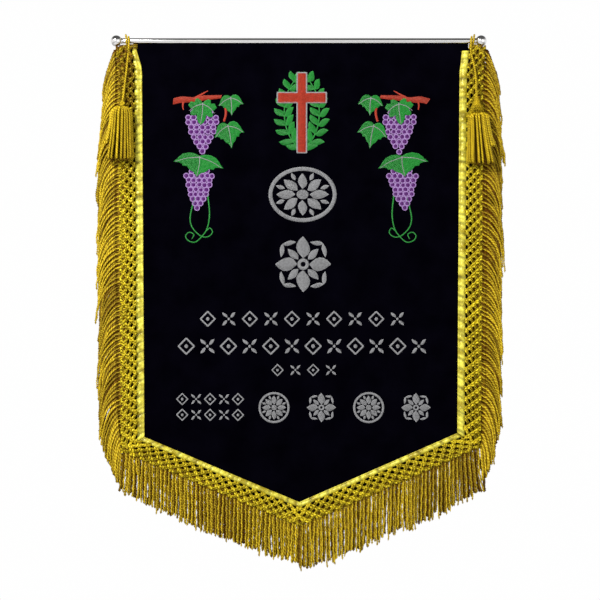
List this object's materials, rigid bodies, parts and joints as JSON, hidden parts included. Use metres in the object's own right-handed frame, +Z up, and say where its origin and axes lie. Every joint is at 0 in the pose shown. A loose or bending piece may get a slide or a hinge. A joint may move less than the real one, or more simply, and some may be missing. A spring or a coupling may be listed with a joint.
{
  "type": "church banner on a hanging rod",
  "caption": "Pointed velvet church banner on a slotted rod with ball finials, edged with satin tape, a knotted net heading and a cord fringe, with a tassel at each end.",
  "frame": {"origin": "on the rod's axis, above the middle of the panel", "axes": "+X along the rod to the right of a viewer who faces the banner, -Y towards the viewer, +Z up"},
  "size_m": [0.7073, 0.0402, 0.9259],
  "materials": {
    "chrome": "polished",
    "velvet": "black velvet pile",
    "satin_tape": "yellow-gold satin",
    "gold_net": "lustrous gold cord, knotted",
    "gold_fringe": "lustrous gold cord, twisted",
    "gold_tassel": "lustrous gold cord, twisted",
    "thread_green": "satin-stitch rayon thread",
    "thread_purple": "satin-stitch rayon thread",
    "thread_lilac": "satin-stitch rayon thread",
    "thread_red": "satin-stitch rayon thread",
    "thread_silver": "satin-stitch silver-grey thread"
  },
  "bodies": {
    "root": {"rod": "chrome", "finial_left": "chrome", "finial_right": "chrome", "banner_panel": "velvet", "tape_left": "satin_tape", "tape_right": "satin_tape", "tape_lower_left": "satin_tape", "tape_lower_right": "satin_tape", "net_left": "gold_net", "net_right": "gold_net", "net_lower_left": "gold_net", "net_lower_right": "gold_net", "fringe_left": "gold_fringe", "fringe_right": "gold_fringe", "fringe_lower_left": "gold_fringe", "fringe_lower_right": "gold_fringe", "tassel_cord_left": "gold_tassel", "tassel_cord_right": "gold_tassel", "tassel_knot_left": "gold_tassel", "tassel_knot_right": "gold_tassel", "tassel_skirt_left": "gold_tassel", "tassel_skirt_right": "gold_tassel"}
  },
  "joints": []
}
